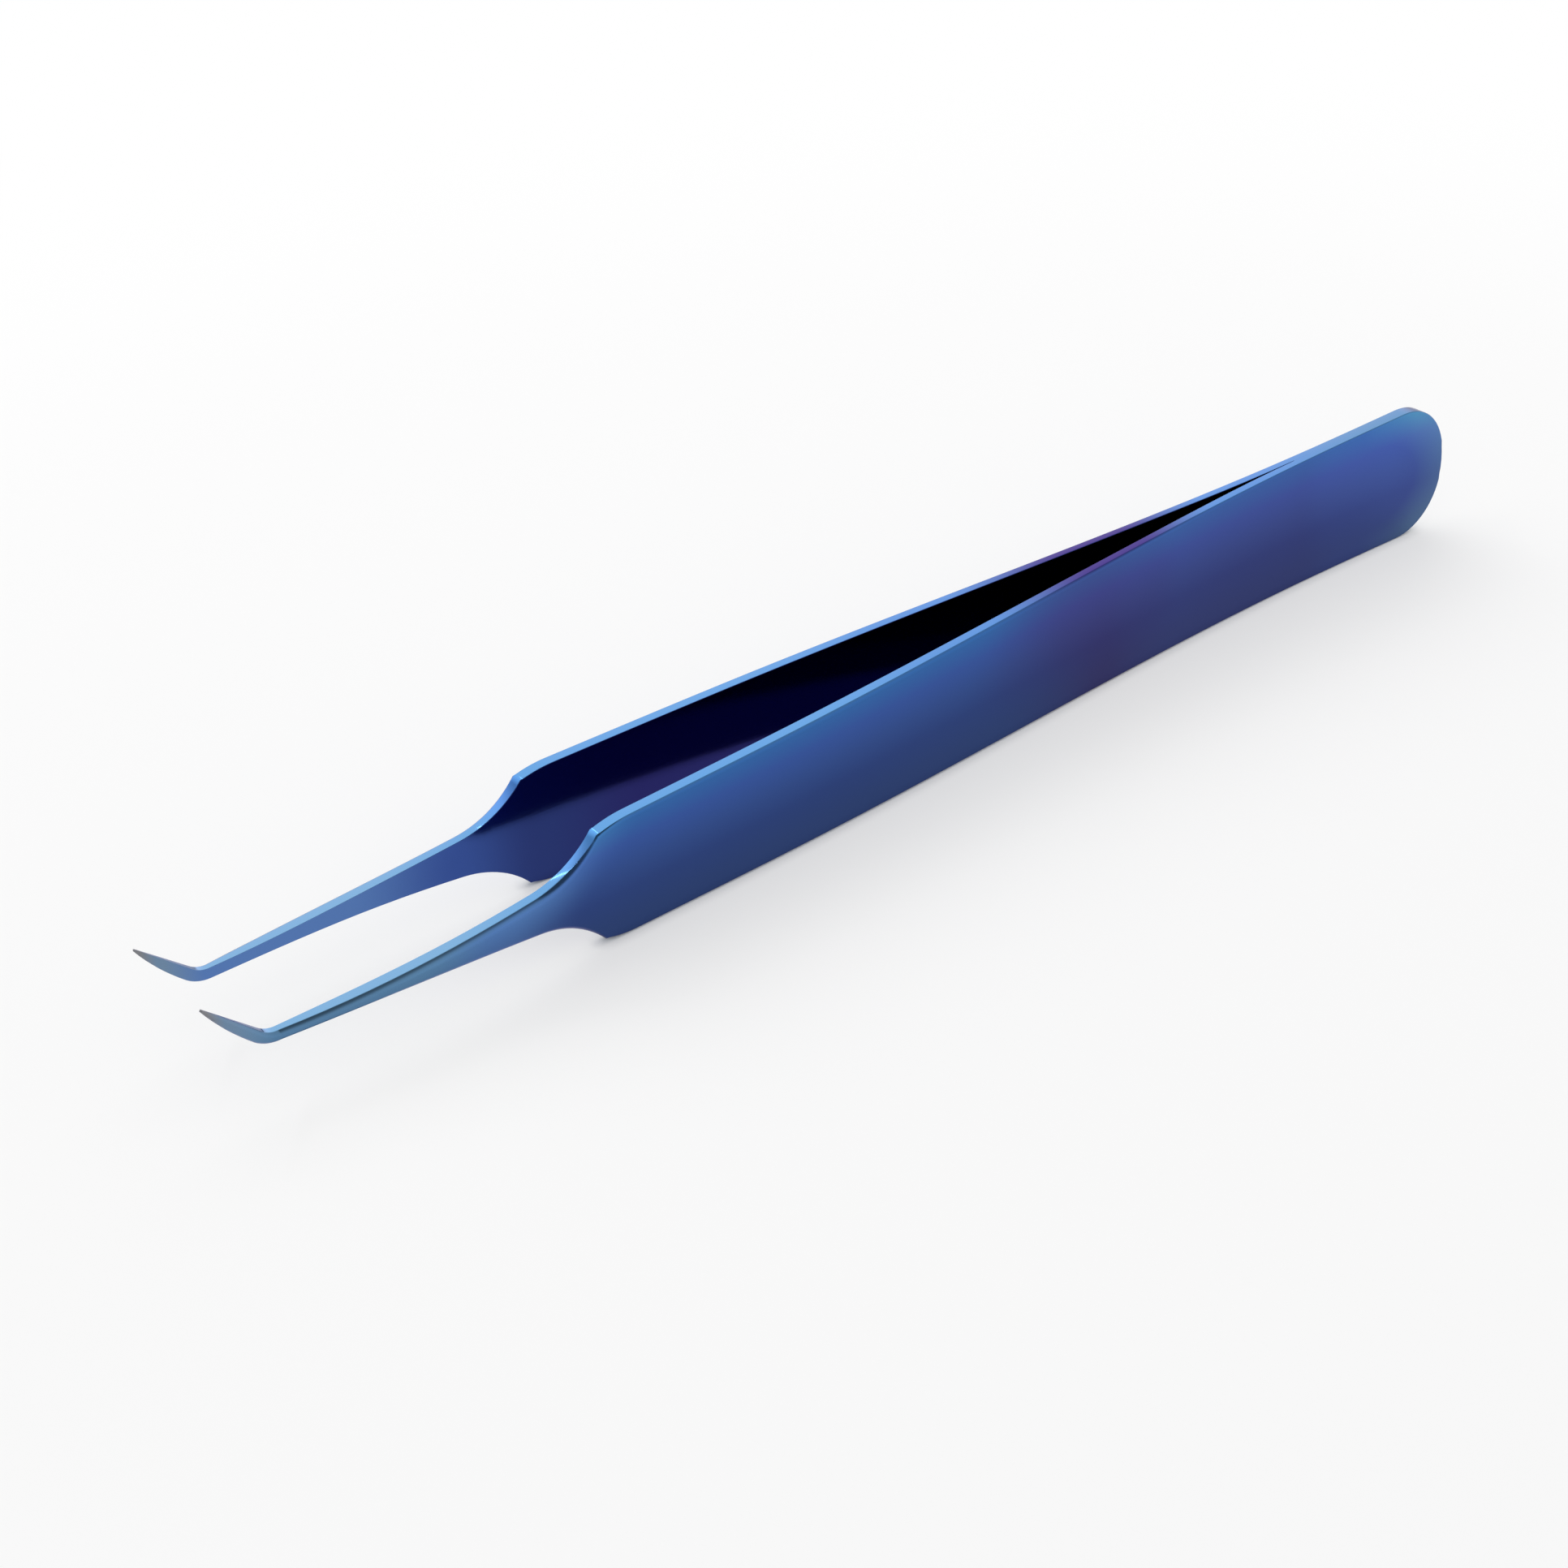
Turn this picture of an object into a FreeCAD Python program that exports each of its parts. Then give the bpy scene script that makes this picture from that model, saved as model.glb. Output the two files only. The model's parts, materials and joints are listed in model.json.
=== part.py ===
import FreeCAD, Part
import math
import os

import Sketcher

# Angled tying forceps: two mirrored titanium strips, welded flush at the rounded tail and bowed apart.
# X runs from the tail to the tips, Y across the two arms and Z up, in millimetres. The forceps lie on
# the lower edges of both arms, and the origin is the middle of the base of their box.

doc = FreeCAD.newDocument("tying_forceps")

# Driving dimensions. Thicknesses and half gaps are measured across the arms, at the place they name.
DIMENSIONS = {
    "tail_height": 11.2,
    "tail_crown_radius": 11.0,
    "tail_corner_radius": 4.7,
    "weld_length": 16.2,
    "flex_line": 30.0,
    "hinge_clearance": 0.04,
    "handle_length": 86.0,
    "shoulder_height": 9.0,
    "flank_length": 5.4,
    "shank_root_height": 2.87,
    "shank_length": 24.9,
    "bend_height": 0.8,
    "bend_inside_radius": 1.03,
    "tip_angle": 42.3,
    "tip_length": 4.25,
    "tip_end_height": 0.2,
    "tail_thickness": 0.62,
    "weld_thickness": 0.7,
    "flex_thickness": 0.74,
    "middle_thickness": 0.85,
    "belly_thickness": 0.96,
    "shoulder_thickness": 1.01,
    "shank_thickness": 1.09,
    "bend_thickness": 0.74,
    "tip_thickness": 0.2,
    "flex_half_gap": 0.62,
    "middle_half_gap": 2.01,
    "belly_half_gap": 3.27,
    "shoulder_half_gap": 3.98,
    "shank_half_gap": 4.24,
    "bend_half_gap": 4.05,
    "tip_half_gap": 4.1,
    "tail_edge_round": 0.25,
    "shoulder_edge_round": 0.45,
    "bend_edge_round": 0.2,
    "tip_edge_round": 0.05,
}

# Sizes worked out from them. U and W run along and across the centre line of an arm seen from the
# side, starting at the middle of the tail's end.
DERIVED = {
    "tail_w": "tail_height / 2",
    "shoulder_w": "shoulder_height / 2",
    "edge_slope": "(tail_w - shoulder_w) / handle_length",
    "edge_fall": "atan(edge_slope)",
    "flex_w": "tail_w - edge_slope * flex_line",
    "arm_start_u": "flex_line + hinge_clearance",
    "arm_start_w": "flex_w - edge_slope * hinge_clearance",
    "root_u": "handle_length + flank_length",
    "root_w": "shank_root_height / 2",
    "bend_u": "handle_length + shank_length",
    "bend_w": "bend_height / 2",
    "shank_run": "bend_u - root_u",
    "shank_fall": "root_w - bend_w",
    "shank_hollow_radius": "(shank_run^2 + shank_fall^2) / (2 * shank_fall)",
    "flank_fall": "shoulder_w - root_w",
    "root_tangent_fall": "(flank_fall * shank_fall + flank_length * shank_run) / shank_hollow_radius",
    "flank_radius": "(flank_length^2 + flank_fall^2) / (2 * (flank_fall - root_tangent_fall))",
    "corner_reach": "tail_w - tail_corner_radius / cos(edge_fall)",
    "crown_reach": "tail_crown_radius + corner_reach * edge_slope",
    "crown_rest": "tail_crown_radius^2 + corner_reach^2 - (tail_crown_radius - tail_corner_radius)^2",
    "slope_share": "1 + edge_slope^2",
    "corner_centre_u": "(crown_reach - sqrt(crown_reach^2 - slope_share * crown_rest)) / slope_share",
    "corner_centre_w": "corner_reach - edge_slope * corner_centre_u",
    "corner_share": "tail_crown_radius / (tail_crown_radius - tail_corner_radius)",
    "crown_end_u": "tail_crown_radius - (tail_crown_radius - corner_centre_u) * corner_share",
    "crown_end_w": "corner_centre_w * corner_share",
    "corner_end_u": "corner_centre_u + tail_corner_radius * sin(edge_fall)",
    "corner_end_w": "corner_centre_w + tail_corner_radius * cos(edge_fall)",
    "tip_top_radius": "bend_inside_radius + tip_end_height",
    "tip_u": "bend_u + tip_top_radius * sin(tip_angle) + tip_length * cos(tip_angle)",
    "tip_w": "bend_w + bend_inside_radius - tip_top_radius * cos(tip_angle) + tip_length * sin(tip_angle)",
    "overall_length": "tip_u * cos(edge_fall) + tip_w * sin(edge_fall)",
    "tail_x": "-overall_length / 2",
    "axis_height": "tail_w * cos(edge_fall)",
    "plate_width": "4 * (shank_half_gap + shank_thickness)",
    "strip_height": "2 * tail_height",
}

# Evenly spaced sections in each stretch of an arm, and the slack for telling where an edge lies.
HANDLE_STEPS = 3
FLANK_STEPS = 6
SHANK_STEPS = 4
CROOK_STEPS = 3
POINT_STEPS = 3
SLACK = 0.01

sizes = doc.addObject("Spreadsheet::Sheet", "Sizes")
for row, (name, value) in enumerate({**DIMENSIONS, **DERIVED}.items(), start=1):
    formula = f"={value}" if isinstance(value, str) else str(value)
    sizes.set(f"A{row}", name)
    sizes.set(f"B{row}", formula)
    sizes.setAlias(f"B{row}", name)
doc.recompute()


def size(name):
    value = sizes.get(name)
    return float(getattr(value, "Value", value))


def blend(first, second, share):
    return first + (second - first) * share


def lay_down(shape):
    """Ties a shape drawn on the arm's centre line to its place, lying on the lower edge."""
    shape.Placement = FreeCAD.Placement(FreeCAD.Vector(), FreeCAD.Rotation(FreeCAD.Vector(0, 1, 0), 1))
    shape.setExpression("Placement.Base.x", "Sizes.tail_x")
    shape.setExpression("Placement.Base.z", "Sizes.axis_height")
    shape.setExpression("Placement.Rotation.Angle", "Sizes.edge_fall")


# The bow of an arm seen from above: curves that give the inner and the outer face's Y for any U.
BOW_STATIONS = [
    ("flex", size("flex_line")),
    ("middle", blend(size("flex_line"), size("handle_length"), 1 / 3)),
    ("belly", blend(size("flex_line"), size("handle_length"), 2 / 3)),
    ("shoulder", size("handle_length")),
    ("shank", blend(size("handle_length"), size("bend_u"), 1 / 2)),
    ("bend", size("bend_u")),
    ("tip", size("tip_u")),
]


def bow_curve(points):
    """A smooth curve along U that leaves its first point straight and runs on straight past its last."""
    run_out = points[-1] - points[-2]
    curve = Part.BSplineCurve()
    curve.interpolate(Points=points, Parameters=[point.x for point in points], Scale=False,
                      InitialTangent=FreeCAD.Vector(1, 0, 0), FinalTangent=run_out / run_out.x)
    return curve


inside_points = [FreeCAD.Vector(size("weld_length"), 0, 0)]
outside_points = [
    FreeCAD.Vector(0, size("tail_thickness"), 0),
    FreeCAD.Vector(size("weld_length"), size("weld_thickness"), 0),
]
for station, along in BOW_STATIONS:
    half_gap = size(station + "_half_gap")
    inside_points.append(FreeCAD.Vector(along, half_gap, 0))
    outside_points.append(FreeCAD.Vector(along, half_gap + size(station + "_thickness"), 0))
inside_bow = bow_curve(inside_points)
outside_bow = bow_curve(outside_points)


def section(name, foot, lean, height, edge_round):
    """One cross-section of an arm: flat inside, with both outer edges rounded.

    foot is its lower end as (U, W), lean its angle from upright, in radians, and height its length.
    """
    up = FreeCAD.Vector(-math.sin(lean), 0, math.cos(lean))
    base = FreeCAD.Vector(foot[0], 0, foot[1])
    middle_u = (base + up * (height / 2)).x
    across = FreeCAD.Vector(0, 1, 0)
    low_in = base + across * inside_bow.value(middle_u).y
    low_out = base + across * outside_bow.value(middle_u).y
    high_in = low_in + up * height
    high_out = low_out + up * height
    side = across * edge_round
    rise = up * edge_round
    corner_gap = 1 - math.sqrt(0.5)
    edges = [
        Part.LineSegment(low_in, low_out - side),
        Part.Arc(low_out - side, low_out + (rise - side) * corner_gap, low_out + rise),
        Part.LineSegment(low_out + rise, high_out - rise),
        Part.Arc(high_out - rise, high_out - (rise + side) * corner_gap, high_out - side),
        Part.LineSegment(high_out - side, high_in),
        Part.LineSegment(high_in, low_in),
    ]
    wire = doc.addObject("Part::Feature", name)
    wire.Shape = Part.Wire([edge.toShape() for edge in edges])
    return wire


def upright_sections(prefix, stations):
    """Sections square to the centre line; each station is its U, half height and edge rounding."""
    wires = []
    for index, (along, half_height, edge_round) in enumerate(stations):
        foot = (along, -half_height)
        wires.append(section(f"{prefix}_{index}", foot, 0, 2 * half_height, edge_round))
    return wires


# The handle narrows evenly from the flex line to the shoulder.
handle_stations = []
for step in range(HANDLE_STEPS + 1):
    share = step / HANDLE_STEPS
    handle_stations.append((
        blend(size("arm_start_u"), size("handle_length"), share),
        blend(size("arm_start_w"), size("shoulder_w"), share),
        blend(size("tail_edge_round"), size("shoulder_edge_round"), share),
    ))
handle_sections = upright_sections("handle_section", handle_stations)

# Two hollow-ground flanks take the handle down to the shank. Their arc starts at the shoulder's corner
# and runs tangent into the long hollow of the shank, which is parallel to the centre line at the bend.
hollow_radius = size("shank_hollow_radius")
hollow_centre = FreeCAD.Vector(size("bend_u"), size("bend_w") + hollow_radius, 0)
shoulder_corner = FreeCAD.Vector(size("handle_length"), size("shoulder_w"), 0)
flank_end = FreeCAD.Vector(size("root_u"), size("root_w"), 0)
flank_centre = blend(flank_end, hollow_centre, size("flank_radius") / hollow_radius)
bend_end = FreeCAD.Vector(size("bend_u"), size("bend_w"), 0)


def hollow_stations(centre, start, end, steps, rounds):
    """Stations at even turns of a hollow arc."""
    radius = (start - centre).Length
    angles = [math.atan2(point.x - centre.x, centre.y - point.y) for point in (start, end)]
    stations = []
    for step in range(steps + 1):
        share = step / steps
        angle = blend(*angles, share)
        along = centre.x + radius * math.sin(angle)
        half_height = centre.y - radius * math.cos(angle)
        stations.append((along, half_height, blend(*rounds, share)))
    return stations


flank_rounds = (size("shoulder_edge_round"), size("shoulder_edge_round"))
flank_stations = hollow_stations(flank_centre, shoulder_corner, flank_end, FLANK_STEPS, flank_rounds)
flank_sections = upright_sections("flank_section", flank_stations)
shank_rounds = (size("shoulder_edge_round"), size("bend_edge_round"))
shank_stations = hollow_stations(hollow_centre, flank_end, bend_end, SHANK_STEPS, shank_rounds)
shank_sections = upright_sections("shank_section", shank_stations)

# The crook turns the shank up about the bend's centre. The point runs on straight, with a belly below.
tip_angle = math.radians(size("tip_angle"))
bend_height = size("bend_height")
inside_radius = size("bend_inside_radius")
bend_centre_w = size("bend_w") + inside_radius


def crook_foot(turn, height, along):
    """The lower end, as (U, W), of a section turned by the crook and then carried along the point."""
    radius = inside_radius + height
    return (
        size("bend_u") + radius * math.sin(turn) + along * math.cos(turn),
        bend_centre_w - radius * math.cos(turn) + along * math.sin(turn),
    )


crook_sections = [shank_sections[-1]]
for step in range(1, CROOK_STEPS + 1):
    turn = tip_angle * step / CROOK_STEPS
    foot = crook_foot(turn, bend_height, 0)
    name = f"crook_section_{step}"
    crook_sections.append(section(name, foot, turn, bend_height, size("bend_edge_round")))

tip_taper = bend_height - size("tip_end_height")
belly_radius = (size("tip_length")**2 + tip_taper**2) / (2 * tip_taper)
point_sections = [crook_sections[-1]]
for step in range(1, POINT_STEPS + 1):
    share = step / POINT_STEPS
    along = size("tip_length") * share
    height = bend_height - (belly_radius - math.sqrt(belly_radius**2 - along**2))
    foot = crook_foot(tip_angle, height, along)
    edge_round = blend(size("bend_edge_round"), size("tip_edge_round"), share)
    point_sections.append(section(f"point_section_{step}", foot, tip_angle, height, edge_round))


def loft(name, sections):
    solid = doc.addObject("Part::Loft", name)
    solid.Sections = sections
    solid.Solid = True
    solid.Ruled = False
    return solid


near_arm = doc.addObject("Part::MultiFuse", "near_arm")
near_arm.Shapes = [
    loft("handle", handle_sections),
    loft("flanks", flank_sections),
    loft("shank", shank_sections),
    loft("crook", crook_sections),
    loft("point", point_sections),
]
lay_down(near_arm)

far_arm = doc.addObject("Part::Mirroring", "far_arm")
far_arm.Source = near_arm
far_arm.Normal = (0, 1, 0)


def outline_corner(u_name, w_name, sign):
    return f"Sizes.{u_name}", f"{sign} * Sizes.{w_name}", size(u_name), sign * size(w_name)


def side_outline(name, steps):
    """A closed sketch on the centre line; each step is a corner and the radius of the arc before it."""
    sketch = doc.addObject("Sketcher::SketchObject", name)
    sketch.Placement = FreeCAD.Placement(FreeCAD.Vector(), FreeCAD.Rotation(FreeCAD.Vector(1, 0, 0), 90))
    ends = []
    for index, (corner, radius) in enumerate(steps):
        start = FreeCAD.Vector(*steps[index - 1][0][2:], 0)
        end = FreeCAD.Vector(*corner[2:], 0)
        if radius is None:
            edge = sketch.addGeometry(Part.LineSegment(start, end))
            ends.append((edge, 1, 2))
        else:
            reach = size(radius)
            chord = end - start
            inward = FreeCAD.Vector(chord.y, -chord.x, 0).normalize()
            centre = (start + end) / 2 + inward * math.sqrt(reach**2 - chord.Length**2 / 4)
            circle = Part.Circle(centre, FreeCAD.Vector(0, 0, 1), reach)
            turns = [math.atan2(point.y - centre.y, point.x - centre.x) for point in (end, start)]
            edge = sketch.addGeometry(Part.ArcOfCircle(circle, *turns))
            ends.append((edge, 2, 1))
            bound = sketch.addConstraint(Sketcher.Constraint("Radius", edge, reach))
            sketch.setExpression(f"Constraints[{bound}]", f"Sizes.{radius}")
        for kind, expression, value in zip(("DistanceX", "DistanceY"), corner[:2], corner[2:]):
            bound = sketch.addConstraint(Sketcher.Constraint(kind, -1, 1, edge, ends[-1][2], value))
            sketch.setExpression(f"Constraints[{bound}]", expression)
    for (edge, start_point, _), (before, _, end_point) in zip(ends, ends[-1:] + ends[:-1]):
        sketch.addConstraint(Sketcher.Constraint("Coincident", edge, start_point, before, end_point))
    return sketch


# The tail seen from the side: a crowned end between two rounded corners, cut off at the flex line.
tail_outline = side_outline("tail_outline", [
    (outline_corner("flex_line", "flex_w", 1), None),
    (outline_corner("flex_line", "flex_w", -1), None),
    (outline_corner("corner_end_u", "corner_end_w", -1), None),
    (outline_corner("crown_end_u", "crown_end_w", -1), "tail_corner_radius"),
    (outline_corner("crown_end_u", "crown_end_w", 1), "tail_crown_radius"),
    (outline_corner("corner_end_u", "corner_end_w", 1), "tail_corner_radius"),
])
tail_plate = doc.addObject("Part::Extrusion", "tail_plate")
tail_plate.Base = tail_outline
tail_plate.DirMode = "Normal"
tail_plate.Solid = True
tail_plate.Symmetric = True
tail_plate.setExpression("LengthFwd", "Sizes.plate_width")

# Each strip seen from above: flat along the weld, with its bow from there on.
past_tail = FreeCAD.Vector(-size("tail_thickness"), 0, 0)
rim = [
    inside_bow.StartPoint,
    past_tail,
    past_tail + outside_bow.StartPoint,
    outside_bow.StartPoint,
]
plan_edges = [Part.LineSegment(start, end).toShape() for start, end in zip(rim, rim[1:])]
plan_edges += [
    outside_bow.toShape(),
    Part.LineSegment(outside_bow.EndPoint, inside_bow.EndPoint).toShape(),
    inside_bow.toShape(),
]
strip_plan = doc.addObject("Part::Feature", "strip_plan")
strip_plan.Shape = Part.Face(Part.Wire(plan_edges))

near_strip = doc.addObject("Part::Extrusion", "near_strip")
near_strip.Base = strip_plan
near_strip.DirMode = "Custom"
near_strip.Dir = (0, 0, 1)
near_strip.Solid = True
near_strip.Symmetric = True
near_strip.setExpression("LengthFwd", "Sizes.strip_height")
far_strip = doc.addObject("Part::Mirroring", "far_strip")
far_strip.Source = near_strip
far_strip.Normal = (0, 1, 0)
welded_strips = doc.addObject("Part::Fuse", "welded_strips")
welded_strips.Base = near_strip
welded_strips.Tool = far_strip
welded_strips.Refine = True
tail = doc.addObject("Part::Common", "tail")
tail.Base = welded_strips
tail.Tool = tail_plate
doc.recompute()


def outer_edges(shape):
    """Numbers of the edges round both outer faces, without those at the flex line."""
    numbers = []
    for number, edge in enumerate(shape.Edges, start=1):
        middle = edge.valueAt((edge.FirstParameter + edge.LastParameter) / 2)
        on_outer_face = all(abs(vertex.Y) > size("tail_thickness") - SLACK for vertex in edge.Vertexes)
        crosses = edge.Vertexes[0].Y * edge.Vertexes[-1].Y < 0
        if on_outer_face and not crosses and middle.x < size("flex_line") - SLACK:
            numbers.append(number)
    return numbers


tail_round = size("tail_edge_round")
welded_tail = doc.addObject("Part::Fillet", "welded_tail")
welded_tail.Base = tail
welded_tail.Edges = [(number, tail_round, tail_round) for number in outer_edges(tail.Shape)]
lay_down(welded_tail)
doc.recompute()

subparts = [welded_tail, near_arm, far_arm]
for item in doc.Objects:
    if {"Invalid", "Error"} & set(item.State):
        raise RuntimeError(f"{item.Label} failed: {item.State}")
for item in subparts:
    if item.Shape.isNull() or not item.Shape.isValid() or len(item.Shape.Solids) != 1:
        raise RuntimeError(f"{item.Label} is not one valid solid")

os.makedirs("parts", exist_ok=True)
for item in subparts:
    item.Shape.exportStep(f"parts/{item.Label}.step")
    box = item.Shape.BoundBox
    print(item.Label, "volume", round(item.Shape.Volume, 2), "mm3, box", [
        round(value, 3) for value in (box.XMin, box.YMin, box.ZMin, box.XMax, box.YMax, box.ZMax)])
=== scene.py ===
import json
from math import atan, cos, pi, radians, sin, sqrt

import bmesh
import bpy
import numpy as np
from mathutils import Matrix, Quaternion, Vector


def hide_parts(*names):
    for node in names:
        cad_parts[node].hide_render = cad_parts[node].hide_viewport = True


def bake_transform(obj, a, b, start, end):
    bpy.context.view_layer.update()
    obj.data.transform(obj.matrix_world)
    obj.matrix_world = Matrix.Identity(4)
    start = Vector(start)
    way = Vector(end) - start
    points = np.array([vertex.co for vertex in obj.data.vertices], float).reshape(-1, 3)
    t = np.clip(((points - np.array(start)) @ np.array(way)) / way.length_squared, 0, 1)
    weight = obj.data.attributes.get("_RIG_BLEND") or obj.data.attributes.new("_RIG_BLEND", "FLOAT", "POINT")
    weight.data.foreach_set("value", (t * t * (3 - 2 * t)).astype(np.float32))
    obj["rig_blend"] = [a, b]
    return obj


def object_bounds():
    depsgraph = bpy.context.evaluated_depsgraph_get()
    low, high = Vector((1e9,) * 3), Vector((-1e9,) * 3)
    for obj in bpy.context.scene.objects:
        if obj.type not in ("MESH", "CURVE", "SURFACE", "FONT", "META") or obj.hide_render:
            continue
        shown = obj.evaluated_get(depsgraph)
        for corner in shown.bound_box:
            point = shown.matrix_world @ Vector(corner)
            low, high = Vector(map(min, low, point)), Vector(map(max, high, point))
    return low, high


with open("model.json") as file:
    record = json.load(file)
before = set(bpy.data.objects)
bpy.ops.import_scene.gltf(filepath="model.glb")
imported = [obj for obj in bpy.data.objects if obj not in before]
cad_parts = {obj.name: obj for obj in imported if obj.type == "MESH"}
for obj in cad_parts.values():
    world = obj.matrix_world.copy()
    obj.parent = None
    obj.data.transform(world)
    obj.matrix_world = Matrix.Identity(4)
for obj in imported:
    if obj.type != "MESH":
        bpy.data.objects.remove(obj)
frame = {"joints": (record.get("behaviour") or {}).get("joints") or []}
cad_low, cad_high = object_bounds()

# The near strip is one bar of titanium, ground from the needle tip back through the slim shank and its
# hollow flanks to the flat handle, then bowed. It is drawn out here from the tip to the tail, in
# millimetres along its own centre line, and laid down on its lower edge at the end.
MM = 0.001
TAIL_HEIGHT = 11.2
TAIL_CROWN_RADIUS = 11.0
TAIL_CORNER_RADIUS = 4.7
WELD_LENGTH = 16.2
HANDLE_LENGTH = 86.0
SHOULDER_HEIGHT = 9.0
SHOULDER_EASE_LENGTH = 2.4
SHOULDER_EASE_DROP = 0.3
FLANK_LENGTH = 5.4
SHANK_ROOT_HEIGHT = 2.87
SHANK_LENGTH = 24.5
BEND_HEIGHT = 0.8
BEND_INSIDE_RADIUS = 1.8
TIP_ANGLE = radians(42.3)
TIP_LENGTH = 4.7
TIP_END_HEIGHT = 0.15
CROWN_SHARE = 0.1
ROWS = (0.3, 0.5, 0.7)

bend_u = HANDLE_LENGTH + SHANK_LENGTH
tip_u = bend_u + TIP_LENGTH
root_u = HANDLE_LENGTH + FLANK_LENGTH
edge_slope = (TAIL_HEIGHT - SHOULDER_HEIGHT) / 2 / HANDLE_LENGTH
edge_fall = atan(edge_slope)

# Places along the centre line, the inner face's distance from the middle there, and the thickness.
BOW = [
    (0, 0, 0.62),
    (WELD_LENGTH, 0, 0.7),
    (30, 0.62, 0.74),
    (30 + (HANDLE_LENGTH - 30) / 3, 2.01, 0.85),
    (30 + (HANDLE_LENGTH - 30) * 2 / 3, 3.27, 0.96),
    (HANDLE_LENGTH, 3.98, 1.01),
    (HANDLE_LENGTH + SHANK_LENGTH / 2, 4.24, 1.09),
    (bend_u, 4.05, 0.74),
    (tip_u, 4.1, 0.2),
]


def smooth_curve(points):
    """A smooth curve through (place, value) points, level at its first and straight on at its last."""
    places, values = np.array(points, float).T
    gaps = np.diff(places)
    rises = np.diff(values) / gaps
    matrix = np.eye(len(places))
    right = np.zeros(len(places))
    right[-1] = rises[-1]
    for i in range(1, len(places) - 1):
        matrix[i, i - 1:i + 2] = gaps[i], 2 * (gaps[i] + gaps[i - 1]), gaps[i - 1]
        right[i] = 3 * (gaps[i] * rises[i - 1] + gaps[i - 1] * rises[i])
    slopes = np.linalg.solve(matrix, right)

    def value(place):
        i = int(np.clip(np.searchsorted(places, place) - 1, 0, len(gaps) - 1))
        share = (place - places[i]) / gaps[i]
        near = (1 + 2 * share) * (1 - share)**2 * values[i] + (3 - 2 * share) * share**2 * values[i + 1]
        bend = share * (1 - share) * gaps[i] * ((1 - share) * slopes[i] - share * slopes[i + 1])
        return float(near + bend)

    return value


inside_bow = smooth_curve([(place, gap) for place, gap, _ in BOW[1:]])
outside_bow = smooth_curve([(place, gap + thickness) for place, gap, thickness in BOW])


def station(along, half_height, middle=0.0):
    """A cross-section square to the centre line: its middle and its size."""
    inside = inside_bow(along) if along > WELD_LENGTH else 0.0
    outside = outside_bow(along)
    return Vector((along, (inside + outside) / 2, middle)), Vector((1, outside - inside, 2 * half_height))


def draw_out(stations):
    """Extrudes the selected end face from the first station through all the others."""
    for (start, start_size), (end, end_size) in zip(stations, stations[1:]):
        bpy.ops.mesh.extrude_region_move(TRANSFORM_OT_translate={"value": end - start})
        ratio = [b / a for a, b in zip(start_size, end_size)]
        bpy.ops.transform.resize(value=ratio, center_override=end)


def arc(centre, start, end, steps):
    """(U, half height) points at even turns of an arc from start to end."""
    radius = (start - centre).length
    turns = [np.arctan2(point.x - centre.x, centre.y - point.y) for point in (start, end)]
    return [(centre.x + radius * sin(turn), centre.y - radius * cos(turn))
            for turn in np.linspace(*turns, steps + 1)]


def select_faces(test):
    """In edit mode, selects only the faces that pass."""
    bpy.ops.mesh.select_mode(type="FACE")
    bpy.ops.mesh.select_all(action="DESELECT")
    mesh = bmesh.from_edit_mesh(bpy.context.object.data)
    for face in mesh.faces:
        if test(face):
            face.select_set(True)
    bmesh.update_edit_mesh(bpy.context.object.data)


# The point: straight along its top, with a belly below.
tip_taper = BEND_HEIGHT - TIP_END_HEIGHT
belly_radius = (TIP_LENGTH**2 + tip_taper**2) / (2 * tip_taper)
point = []
for share in np.linspace(1, 0, 9):
    height = BEND_HEIGHT - belly_radius + sqrt(belly_radius**2 - (TIP_LENGTH * share)**2)
    point.append(station(bend_u + TIP_LENGTH * share, height / 2, (BEND_HEIGHT - height) / 2))

bpy.ops.object.select_all(action="DESELECT")
bpy.ops.mesh.primitive_plane_add(size=1, rotation=(0, radians(90), 0))
bpy.ops.object.transform_apply(location=False, rotation=True, scale=False)
near_strip = bpy.context.object
near_strip.name = "near_strip"
bpy.ops.object.mode_set(mode="EDIT")
for row in ROWS:
    bpy.ops.mesh.select_all(action="SELECT")
    bpy.ops.mesh.bisect(plane_co=(0, 0, row - 0.5), plane_no=(0, 0, 1))
mesh = bmesh.from_edit_mesh(near_strip.data)
for vertex in mesh.verts:
    if vertex.co.y > 0:
        vertex.co.y += CROWN_SHARE * (1 - 4 * vertex.co.z**2)
bmesh.update_edit_mesh(near_strip.data)
bpy.ops.mesh.select_all(action="SELECT")
bpy.ops.transform.resize(value=(1, point[0][1].y, point[0][1].z), center_override=(0, 0, 0))
bpy.ops.transform.translate(value=point[0][0])
draw_out(point)

# The crook turns the point up about the bend's centre.
bend_centre = Vector((bend_u, 0, BEND_HEIGHT / 2 + BEND_INSIDE_RADIUS))
bpy.ops.mesh.select_all(action="SELECT")
bpy.ops.transform.rotate(value=TIP_ANGLE, orient_axis="Y", center_override=bend_centre)
point_root = Vector((bend_u, 0, 0)) - bend_centre
point_root.rotate(Quaternion((0, -1, 0), TIP_ANGLE))
point_root += bend_centre
point_axis = Vector((cos(TIP_ANGLE), 0, sin(TIP_ANGLE)))
select_faces(lambda face: (face.calc_center_median() - point_root).xz.length < BEND_HEIGHT / 2
             and abs(face.normal.y) < 0.5 and abs(face.normal.dot(point_axis)) > 0.9)
bpy.ops.mesh.spin(steps=8, angle=TIP_ANGLE, center=bend_centre, axis=(0, -1, 0))

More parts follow.
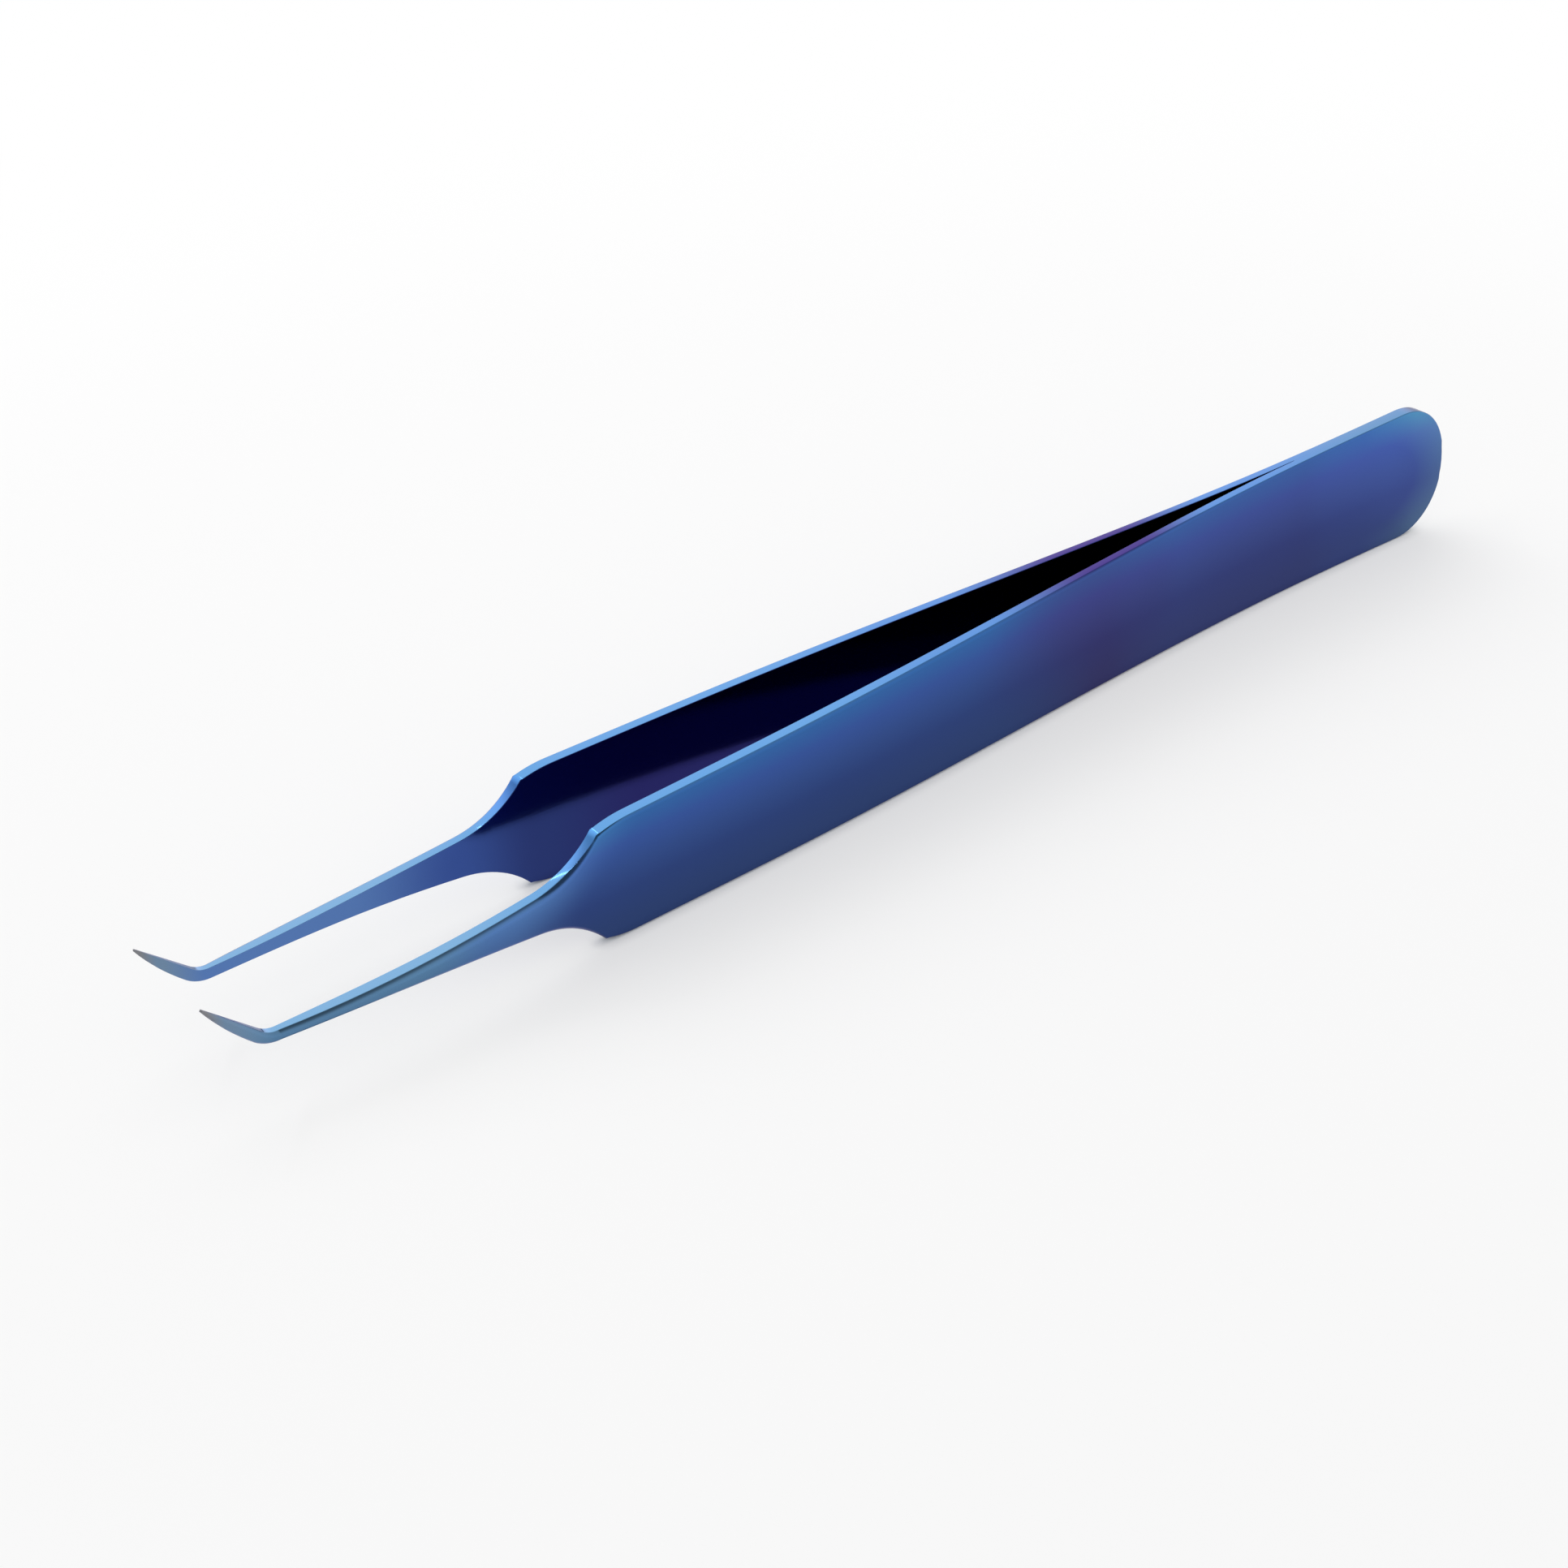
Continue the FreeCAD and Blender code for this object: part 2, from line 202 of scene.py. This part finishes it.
# The shank and its flanks are hollow-ground: two arcs that run into each other at the shank's root.
shank_run = bend_u - root_u
shank_fall = (SHANK_ROOT_HEIGHT - BEND_HEIGHT) / 2
hollow_radius = (shank_run**2 + shank_fall**2) / (2 * shank_fall)
flank_fall = (SHOULDER_HEIGHT - SHANK_ROOT_HEIGHT) / 2
root_tangent_fall = (flank_fall * shank_fall + FLANK_LENGTH * shank_run) / hollow_radius
flank_radius = (FLANK_LENGTH**2 + flank_fall**2) / (2 * (flank_fall - root_tangent_fall))
bend_end = Vector((bend_u, BEND_HEIGHT / 2))
flank_end = Vector((root_u, SHANK_ROOT_HEIGHT / 2))
shoulder = Vector((HANDLE_LENGTH, SHOULDER_HEIGHT / 2))
hollow_centre = Vector((bend_u, BEND_HEIGHT / 2 + hollow_radius))
flank_centre = flank_end.lerp(hollow_centre, flank_radius / hollow_radius)
outline = arc(hollow_centre, bend_end, flank_end, 12)
outline += arc(flank_centre, flank_end, shoulder, 14)[1:-1]

# The shoulders' corners are eased by hand, so the handle's edges dip a little before them.
for share in np.linspace(1, 0, 7):
    along = HANDLE_LENGTH - SHOULDER_EASE_LENGTH * (1 - share)
    outline.append((along, TAIL_HEIGHT / 2 - edge_slope * along - SHOULDER_EASE_DROP * share**2))

# The handle widens evenly to the tail, which ends in a crown between two rounded corners.
corner_reach = TAIL_HEIGHT / 2 - TAIL_CORNER_RADIUS / cos(edge_fall)
crown_reach = TAIL_CROWN_RADIUS + corner_reach * edge_slope
crown_rest = TAIL_CROWN_RADIUS**2 + corner_reach**2 - (TAIL_CROWN_RADIUS - TAIL_CORNER_RADIUS)**2
slope_share = 1 + edge_slope**2
corner_u = (crown_reach - sqrt(crown_reach**2 - slope_share * crown_rest)) / slope_share
corner = Vector((corner_u, corner_reach - edge_slope * corner_u))
crown_share = TAIL_CROWN_RADIUS / (TAIL_CROWN_RADIUS - TAIL_CORNER_RADIUS)
crown_end = Vector((TAIL_CROWN_RADIUS, 0)).lerp(corner, crown_share)
corner_end = corner + TAIL_CORNER_RADIUS * Vector((sin(edge_fall), cos(edge_fall)))
for along in np.linspace(HANDLE_LENGTH - SHOULDER_EASE_LENGTH, corner_end.x, 34)[1:]:
    outline.append((along, TAIL_HEIGHT / 2 - edge_slope * along))
first_turn = np.arctan2(corner_end.y - corner.y, corner_end.x - corner.x)
last_turn = np.arctan2(crown_end.y - corner.y, crown_end.x - corner.x)
for turn in np.linspace(first_turn, last_turn, 15)[1:]:
    outline.append((corner.x + TAIL_CORNER_RADIUS * cos(turn), corner.y + TAIL_CORNER_RADIUS * sin(turn)))
draw_out([station(*place) for place in outline])
mesh = bmesh.from_edit_mesh(near_strip.data)
for vertex in mesh.verts:
    if vertex.select:
        vertex.co.x = TAIL_CROWN_RADIUS - sqrt(TAIL_CROWN_RADIUS**2 - vertex.co.z**2)
bmesh.update_edit_mesh(near_strip.data)
bpy.ops.mesh.select_all(action="SELECT")
bpy.ops.mesh.normals_make_consistent(inside=False)

# Both outer edges are rounded, least at the shoulder's corner and most on the flanks. The inner ones are
# only broken.
EDGE_ROUNDS = (
    (0, 0.12),
    (WELD_LENGTH, 0.15),
    (40, 0.26),
    (HANDLE_LENGTH - 3, 0.26),
    (HANDLE_LENGTH - 0.3, 0.12),
    (HANDLE_LENGTH + 0.3, 0.1),
    (HANDLE_LENGTH + 2.4, 0.5),
    (root_u, 0.45),
    (bend_u - 8, 0.36),
    (bend_u, 0.3),
    (tip_u, 0.05),
)
INNER_BREAK = 0.035
ROUNDING_PROFILE = 0.36
SHARP = radians(50)
SMOOTH = radians(35)
widest = max(radius for _, radius in EDGE_ROUNDS)
mesh = bmesh.from_edit_mesh(near_strip.data)
layers = mesh.edges.layers.float
weights = layers.get("bevel_weight_edge") or layers.new("bevel_weight_edge")
for edge in mesh.edges:
    if len(edge.link_faces) != 2 or edge.calc_face_angle() < SHARP:
        continue
    across = [face.normal.y for face in edge.link_faces]
    place = (edge.verts[0].co.x + edge.verts[1].co.x) / 2
    if max(across) > 0.7:
        edge[weights] = np.interp(place, *zip(*EDGE_ROUNDS)) / widest
    elif min(across) < -0.7 and place > WELD_LENGTH:
        edge[weights] = INNER_BREAK / widest
bmesh.update_edit_mesh(near_strip.data)
bpy.ops.object.mode_set(mode="OBJECT")
rounding = near_strip.modifiers.new("rounding", "BEVEL")
rounding.limit_method = "WEIGHT"
rounding.width = widest
rounding.segments = 4
rounding.profile = ROUNDING_PROFILE
rounding.use_clamp_overlap = False
bpy.ops.object.modifier_apply(modifier=rounding.name)

# The far strip is the near one's mirror image, welded to it along the tail.
bpy.ops.object.duplicate()
far_strip = bpy.context.object
far_strip.name = "far_strip"
bpy.ops.object.mode_set(mode="EDIT")
bpy.ops.mesh.select_all(action="SELECT")
bpy.ops.transform.resize(value=(1, -1, 1), center_override=(0, 0, 0))
bpy.ops.mesh.flip_normals()
bpy.ops.object.mode_set(mode="OBJECT")

# Both are laid down on their lower edges, with the tail's end at the start of the CAD box.
for strip in (near_strip, far_strip):
    bpy.ops.object.select_all(action="DESELECT")
    strip.select_set(True)
    bpy.context.view_layer.objects.active = strip
    bpy.ops.object.shade_smooth_by_angle(angle=SMOOTH)
    weighting = strip.modifiers.new("weighting", "WEIGHTED_NORMAL")
    weighting.keep_sharp = True
    bpy.ops.object.modifier_apply(modifier=weighting.name)
    bpy.ops.object.mode_set(mode="EDIT")
    bpy.ops.mesh.select_all(action="SELECT")
    bpy.ops.transform.resize(value=(MM, MM, MM), center_override=(0, 0, 0))
    bpy.ops.transform.rotate(value=-edge_fall, orient_axis="Y", center_override=(0, 0, 0))
    bpy.ops.transform.translate(value=(cad_low.x, 0, TAIL_HEIGHT / 2 * cos(edge_fall) * MM))
    bpy.ops.object.mode_set(mode="OBJECT")

hinge = Vector(frame["joints"][0]["pos_m"])
FLEX_LENGTH = 28 * MM
flex_end = hinge + Vector((FLEX_LENGTH, 0, 0))
for strip, arm in ((near_strip, "near_arm"), (far_strip, "far_arm")):
    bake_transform(strip, "welded_tail", arm, start=hinge, end=flex_end)
    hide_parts("welded_tail", arm)


# The finish: satin-ground titanium, anodised blue. The oxide is a shade greyer at the weld, violet a third
# of the way along and steel blue on the slim shank, and the needle ends are worn nearly bare.
RIM_BLUE = (0.093, 0.28, 0.56)
TAIL_BLUE = (0.056, 0.150, 0.50)
DEEP_BLUE = (0.051, 0.117, 0.40)
VIOLET = (0.051, 0.087, 0.32)
ROYAL_BLUE = (0.042, 0.135, 0.425)
SHANK_BLUE = (0.092, 0.31, 0.69)
STEEL_BLUE = (0.112, 0.38, 0.62)
POINT_GREY = (0.16, 0.25, 0.37)
BARE_GREY = (0.22, 0.225, 0.24)
INNER_INDIGO = (0.030, 0.030, 0.17)
INNER_BLUE = (0.031, 0.052, 0.21)
INNER_SHANK = (0.046, 0.095, 0.34)
INNER_STEEL = (0.098, 0.20, 0.47)
EDGE_GREY = (0.050, 0.120, 0.21)
EDGE_BLUE = (0.042, 0.115, 0.265)
EDGE_VIOLET = (0.022, 0.013, 0.092)
EDGE_SKY = (0.051, 0.141, 0.28)
EDGE_STEEL = (0.082, 0.166, 0.265)
GRAZING_TINT = (0.75, 0.72, 0.85)
SATIN = 0.2
POLISHED = 0.1
GRAIN_SPREAD = 0.035
DRIFT = 7 * MM
WORN_START, WORN_FULL = 53.5 * MM, 56 * MM
BARE_START, BARE_FULL = 56.5 * MM, 57.5 * MM
RIM_START, RIM_FULL = 0.62, 1.05


def add_node(tree, kind, inputs, **settings):
    """A shader node with its settings made and its inputs set or linked."""
    node = tree.nodes.new("ShaderNode" + kind)
    for name, value in settings.items():
        setattr(node, name, value)
    for name, value in inputs.items():
        if isinstance(value, bpy.types.NodeSocket):
            tree.links.new(value, node.inputs[name])
        else:
            node.inputs[name].default_value = value
    return node


def add_ramp(tree, place, stops):
    """Colours that melt into each other at places along the strip, in millimetres from its middle."""
    share = add_node(tree, "MapRange", {"Value": place, "From Min": -60 * MM, "From Max": 60 * MM})
    ramp = add_node(tree, "ValToRGB", {"Fac": share.outputs["Result"]})
    ramp.color_ramp.interpolation = "EASE"
    elements = ramp.color_ramp.elements
    while len(elements) < len(stops):
        elements.new(0.5)
    for element, (stop, colour) in zip(elements, stops):
        element.position = (stop + 60) / 120
        element.color = (*colour, 1)
    return ramp.outputs["Color"]


def mix(tree, share, first, second):
    """The first colour where the share is nought, and the second where it is one."""
    return add_node(tree, "MixRGB", {"Fac": share, "Color1": first, "Color2": second}).outputs[0]


# Satin grain: fine lengthwise grinding lines and a few tiny handling marks.
grain = bpy.data.node_groups.new("satin_grain", "ShaderNodeTree")
grain.interface.new_socket("Place", in_out="INPUT", socket_type="NodeSocketVector")
grain.interface.new_socket("Roughness", in_out="INPUT", socket_type="NodeSocketFloat")
grain.interface.new_socket("Roughness", in_out="OUTPUT", socket_type="NodeSocketFloat")
grain.interface.new_socket("Height", in_out="OUTPUT", socket_type="NodeSocketFloat")
grain.interface.new_socket("Marks", in_out="OUTPUT", socket_type="NodeSocketFloat")
ends = grain.nodes.new("NodeGroupInput").outputs
lines = add_node(grain, "Mapping", {"Vector": ends["Place"], "Scale": (400, 9000, 9000)})
line_noise = add_node(grain, "TexNoise", {"Vector": lines.outputs["Vector"], "Scale": 1.0, "Detail": 3.0})
spread = add_node(grain, "MapRange", {"Value": line_noise.outputs["Fac"], "To Min": -GRAIN_SPREAD,
                                      "To Max": GRAIN_SPREAD})
rough = add_node(grain, "Math", {0: ends["Roughness"], 1: spread.outputs["Result"]}, operation="ADD")
cells = add_node(grain, "TexVoronoi", {"Vector": ends["Place"], "Scale": 130.0, "Randomness": 1.0})
mark = add_node(grain, "MapRange", {"Value": cells.outputs["Distance"], "From Min": 0.011, "From Max": 0.02,
                                    "To Min": 1.0, "To Max": 0.0})
rare = add_node(grain, "SeparateColor", {"Color": cells.outputs["Color"]})
chosen = add_node(grain, "Math", {0: rare.outputs["Red"], 1: 0.6}, operation="GREATER_THAN")
marks = add_node(grain, "Math", {0: mark.outputs["Result"], 1: chosen.outputs["Value"]},
                 operation="MULTIPLY")
out = grain.nodes.new("NodeGroupOutput").inputs
grain.links.new(rough.outputs["Value"], out["Roughness"])
grain.links.new(line_noise.outputs["Fac"], out["Height"])
grain.links.new(marks.outputs["Value"], out["Marks"])

blue = bpy.data.materials.new("blue_titanium")
blue.use_nodes = True
tree = blue.node_tree
shader = tree.nodes["Principled BSDF"]
shader.inputs["Metallic"].default_value = 1
shader.inputs["Specular Tint"].default_value = (*GRAZING_TINT, 1)

object_place = add_node(tree, "TexCoord", {}).outputs["Object"]
place = add_node(tree, "SeparateXYZ", {"Vector": object_place})
facing = add_node(tree, "SeparateXYZ", {"Vector": add_node(tree, "NewGeometry", {}).outputs["Normal"]})

# The oxide's shades drift by a few millimetres, as heat and current did in the bath.
drift = add_node(tree, "TexNoise", {"Vector": object_place, "Scale": 75.0, "Detail": 1.0})
shift = add_node(tree, "MapRange", {"Value": drift.outputs["Fac"], "To Min": -DRIFT, "To Max": DRIFT})
steady = place.outputs["X"]
along = add_node(tree, "Math", {0: steady, 1: shift.outputs["Result"]}, operation="ADD").outputs[0]
outer = add_ramp(tree, along, [(-50, TAIL_BLUE), (-40, DEEP_BLUE), (-27, DEEP_BLUE), (-19, VIOLET),
                               (-6, ROYAL_BLUE), (29, ROYAL_BLUE), (37, SHANK_BLUE), (46, STEEL_BLUE)])
# Painted shade: the inner faces are painted a darker indigo than the outer ones, for the shade between the
# arms; along the strip they too turn steel blue on the shank.
shaded_inner = add_ramp(tree, steady, [(-20, INNER_BLUE), (-5, INNER_INDIGO), (19, INNER_INDIGO), (28, INNER_BLUE),
                                (34, INNER_SHANK), (43, INNER_STEEL)])
edge = add_ramp(tree, steady, [(-50, EDGE_GREY), (-36, EDGE_BLUE), (-32, EDGE_BLUE), (-23, EDGE_VIOLET),
                               (-18, EDGE_VIOLET), (-6, EDGE_BLUE), (12, EDGE_SKY), (28, EDGE_SKY),
                               (42, EDGE_STEEL)])

# Round the tail's end a rim a few millimetres wide is lighter.
rim_reach = add_node(tree, "MapRange", {"Value": steady, "From Min": -57.4 * MM, "From Max": -49 * MM,
                                        "To Min": 1.0, "To Max": 0.0})
rim_height = add_node(tree, "MapRange", {"Value": place.outputs["Z"], "From Min": 0.0,
                                         "From Max": TAIL_HEIGHT * MM,
                                         "To Min": -1.0, "To Max": 1.0})
rim_place = add_node(tree, "CombineXYZ", {"X": rim_reach.outputs[0], "Y": rim_height.outputs[0]})
rim_length = add_node(tree, "VectorMath", {"Vector": rim_place.outputs[0]}, operation="LENGTH")
rim_near = add_node(tree, "MapRange", {"Value": rim_length.outputs["Value"], "From Min": RIM_START,
                                       "From Max": RIM_FULL})
rim_end = add_node(tree, "MapRange", {"Value": steady, "From Min": -48 * MM, "From Max": -54 * MM})
rim = add_node(tree, "Math", {0: rim_near.outputs[0], 1: rim_end.outputs[0]}, operation="MULTIPLY")
outer = mix(tree, rim.outputs[0], outer, (*RIM_BLUE, 1))

# Painted light: each outer face runs from a lighter teal along its upper border, a painted highlight, to a
# duller, darker navy at its foot, painted shade.
PAINTED_HEIGHT_LIGHT = ((0.15, (0.80, 0.49, 0.47)), (0.4, (0.78, 0.49, 0.53)), (0.6, (0.93, 0.63, 0.66)),
              (0.8, (1.03, 0.74, 0.82)), (0.97, (0.92, 1.02, 0.92)))
shoulder_x = cad_low.x + HANDLE_LENGTH * MM
top = add_node(tree, "MapRange", {"Value": steady, "From Min": cad_low.x, "From Max": shoulder_x,
                                  "To Min": TAIL_HEIGHT * MM, "To Max": SHOULDER_HEIGHT * MM})
height = add_node(tree, "Math", {0: place.outputs["Z"], 1: top.outputs[0]}, operation="DIVIDE")
painted_height_light = add_node(tree, "ValToRGB", {"Fac": height.outputs[0]})
while len(painted_height_light.color_ramp.elements) < len(PAINTED_HEIGHT_LIGHT):
    painted_height_light.color_ramp.elements.new(0.5)
for element, (share, shade) in zip(painted_height_light.color_ramp.elements, PAINTED_HEIGHT_LIGHT):
    element.position = share
    element.color = (*shade, 1)
outer = add_node(tree, "VectorMath", {0: outer, 1: painted_height_light.outputs["Color"]}, operation="MULTIPLY").outputs[0]

# Which side a face is on: the outer face of either arm looks away from the middle, the edges up or down.
side = add_node(tree, "Math", {0: place.outputs["Y"]}, operation="SIGN")
outward = add_node(tree, "Math", {0: side.outputs[0], 1: facing.outputs["Y"]}, operation="MULTIPLY")
is_inner = add_node(tree, "MapRange", {"Value": outward.outputs[0], "From Min": -0.2, "From Max": -0.6})
upright = add_node(tree, "Math", {0: facing.outputs["Z"]}, operation="ABSOLUTE")
is_edge = add_node(tree, "MapRange", {"Value": upright.outputs[0], "From Min": 0.6, "From Max": 0.97})
colour = mix(tree, is_inner.outputs[0], outer, shaded_inner)
colour = mix(tree, is_edge.outputs[0], colour, edge)

# The needle ends turn grey, and their last half millimetre shows bare metal.
worn = add_node(tree, "MapRange", {"Value": steady, "From Min": WORN_START, "From Max": WORN_FULL})
colour = mix(tree, worn.outputs[0], colour, (*POINT_GREY, 1))
bare = add_node(tree, "MapRange", {"Value": steady, "From Min": BARE_START, "From Max": BARE_FULL})
colour = mix(tree, bare.outputs[0], colour, (*BARE_GREY, 1))

satin = add_node(tree, "Group", {}, node_tree=grain)
tree.links.new(object_place, satin.inputs["Place"])
polished = add_node(tree, "Math", {0: is_inner.outputs[0], 1: is_edge.outputs[0]}, operation="MAXIMUM")
polish = add_node(tree, "MapRange", {"Value": polished.outputs[0], "To Min": SATIN, "To Max": POLISHED})
tree.links.new(polish.outputs[0], satin.inputs["Roughness"])
colour = mix(tree, satin.outputs["Marks"], colour, (*POINT_GREY, 1))
tree.links.new(colour, shader.inputs["Base Color"])
tree.links.new(satin.outputs["Roughness"], shader.inputs["Roughness"])
bump = add_node(tree, "Bump", {"Strength": 0.06, "Distance": 0.00001, "Height": satin.outputs["Height"]})
tree.links.new(bump.outputs["Normal"], shader.inputs["Normal"])
for strip in (near_strip, far_strip):
    strip.data.materials.clear()
    strip.data.materials.append(blue)


# The floor is a plain pale sheet that the forceps lie on. Around them it shows their soft shadow, and
# further out it runs into white.
FLOOR_GREY = 0.9
WHITE_START = 0.075
WHITE_FULL = 0.16
VEIL = 0.5
CONTACT_REACH = 0.001
bpy.ops.object.select_all(action="DESELECT")
bpy.ops.mesh.primitive_plane_add(size=4)
floor = bpy.context.object
floor.name = "floor"
pale = bpy.data.materials.new("pale_floor")
pale.use_nodes = True
tree = pale.node_tree
paint = tree.nodes["Principled BSDF"]
paint.inputs["Base Color"].default_value = (FLOOR_GREY, FLOOR_GREY, FLOOR_GREY, 1)
paint.inputs["Roughness"].default_value = 0.9
paint.inputs["Specular IOR Level"].default_value = 0.1
glow = add_node(tree, "Emission", {"Color": (1, 1, 1, 1), "Strength": 1.0})
floor_place = add_node(tree, "TexCoord", {}).outputs["Object"]
reach = add_node(tree, "VectorMath", {"Vector": floor_place}, operation="LENGTH")
white = add_node(tree, "MapRange", {"Value": reach.outputs["Value"], "From Min": WHITE_START,
                                    "From Max": WHITE_FULL, "To Min": VEIL, "To Max": 1.0},
                 interpolation_type="SMOOTHSTEP")


def seen_directly(tree):
    """One for the rays that look at a thing, straight or in a mirror, and nought for those that light it."""
    path = add_node(tree, "LightPath", {}).outputs
    seen = add_node(tree, "Math", {0: path["Is Camera Ray"], 1: path["Is Glossy Ray"]}, operation="ADD")
    seen = add_node(tree, "Math", {0: seen.outputs[0], 1: path["Is Transmission Ray"]}, operation="ADD",
                    use_clamp=True)
    return seen.outputs[0]


clear = add_node(tree, "AmbientOcclusion", {"Distance": CONTACT_REACH}, samples=8)
whitened = add_node(tree, "Math", {0: white.outputs[0], 1: seen_directly(tree)}, operation="MULTIPLY")
whitened = add_node(tree, "Math", {0: whitened.outputs[0], 1: clear.outputs["AO"]}, operation="MULTIPLY")
cover = add_node(tree, "MixShader", {"Fac": whitened.outputs[0], 1: paint.outputs[0], 2: glow.outputs[0]})
tree.links.new(cover.outputs[0], tree.nodes["Material Output"].inputs["Surface"])
floor.data.materials.append(pale)


def direction(azimuth, elevation):
    """A unit vector, with azimuth 0 towards -Y and 90 towards +X."""
    azimuth = radians(azimuth)
    elevation = radians(elevation)
    return Vector((sin(azimuth) * cos(elevation), -cos(azimuth) * cos(elevation), sin(elevation)))


# The studio is a white tent, as the metal mirrors it, with a bright back wall and a dim opening overhead.
# What lights the floor from there is even.
OPENING = direction(110, 69)
OPENING_EDGE = radians(48)
OPENING_CORE = radians(30)
OPENING_LEVEL = 0.2
BACK_WALL = direction(-17, 33)
BACK_WALL_EDGE = radians(52)
BACK_WALL_CORE = radians(28)
BACK_WALL_GLOW = 1.78
EVEN_LIGHT = 0.79
world = bpy.data.worlds.new("studio")
bpy.context.scene.world = world
world.use_nodes = True
tree = world.node_tree
ray = add_node(tree, "TexCoord", {}).outputs["Generated"]
near_opening = add_node(tree, "VectorMath", {0: ray, 1: OPENING}, operation="DOT_PRODUCT")
tent = add_node(tree, "MapRange", {"Value": near_opening.outputs["Value"], "From Min": cos(OPENING_EDGE),
                                   "From Max": cos(OPENING_CORE), "To Min": 1.0, "To Max": OPENING_LEVEL},
                interpolation_type="SMOOTHSTEP")
near_wall = add_node(tree, "VectorMath", {0: ray, 1: BACK_WALL}, operation="DOT_PRODUCT")
wall = add_node(tree, "MapRange", {"Value": near_wall.outputs["Value"], "From Min": cos(BACK_WALL_EDGE),
                                   "From Max": cos(BACK_WALL_CORE), "To Max": BACK_WALL_GLOW},
                interpolation_type="SMOOTHSTEP")
tent = add_node(tree, "Math", {0: tent.outputs[0], 1: wall.outputs[0]}, operation="ADD")
level = add_node(tree, "Mix", {0: seen_directly(tree), 2: EVEN_LIGHT, 3: tent.outputs[0]}, data_type="FLOAT")
background = tree.nodes["Background"]
background.inputs["Color"].default_value = (1, 1, 1, 1)
tree.links.new(level.outputs[0], background.inputs["Strength"])


def hang_light(name, azimuth, elevation, width, height, radiance, roll=0):
    """A flat rectangular light that faces the forceps from LIGHT_DISTANCE away."""
    bpy.ops.object.light_add(type="AREA")
    light = bpy.context.object
    light.name = name
    light.data.shape = "RECTANGLE"
    light.data.size = width
    light.data.size_y = height
    light.data.energy = radiance * pi * width * height
    away = direction(azimuth, elevation)
    light.location = away * LIGHT_DISTANCE
    light.rotation_mode = "QUATERNION"
    light.rotation_quaternion = away.to_track_quat("Z", "Y") @ Quaternion((0, 0, 1), radians(roll))
    return light


LIGHT_DISTANCE = 0.7
softbox = hang_light("back_softbox", azimuth=-24, elevation=37, width=0.84, height=0.36, radiance=1.95)
softbox.visible_glossy = False
hang_light("tube", azimuth=29, elevation=52, width=0.5, height=0.012, radiance=14, roll=17)

# The camera stands where the photo was taken from.
VIEW_AZIMUTH = 142.834
VIEW_ELEVATION = 32.11
VIEW_ROLL = radians(-2.23)
VIEW_TARGET = Vector((0.007606, -0.00295, 0))
VIEW_DISTANCE = 0.2207
PHOTO_FOCAL_PIXELS = 3800
PHOTO_WIDTH = 1932
SENSOR_WIDTH = 36
back = direction(VIEW_AZIMUTH, VIEW_ELEVATION)
bpy.ops.object.camera_add(location=VIEW_TARGET + back * VIEW_DISTANCE)
camera = bpy.context.object
camera.rotation_mode = "QUATERNION"
camera.rotation_quaternion = back.to_track_quat("Z", "Y") @ Quaternion((0, 0, 1), VIEW_ROLL)
camera.data.sensor_width = SENSOR_WIDTH
camera.data.lens = PHOTO_FOCAL_PIXELS / PHOTO_WIDTH * SENSOR_WIDTH
camera.data.clip_start = 0.01
bpy.context.scene.camera = camera
bpy.context.scene.view_settings.view_transform = "Standard"
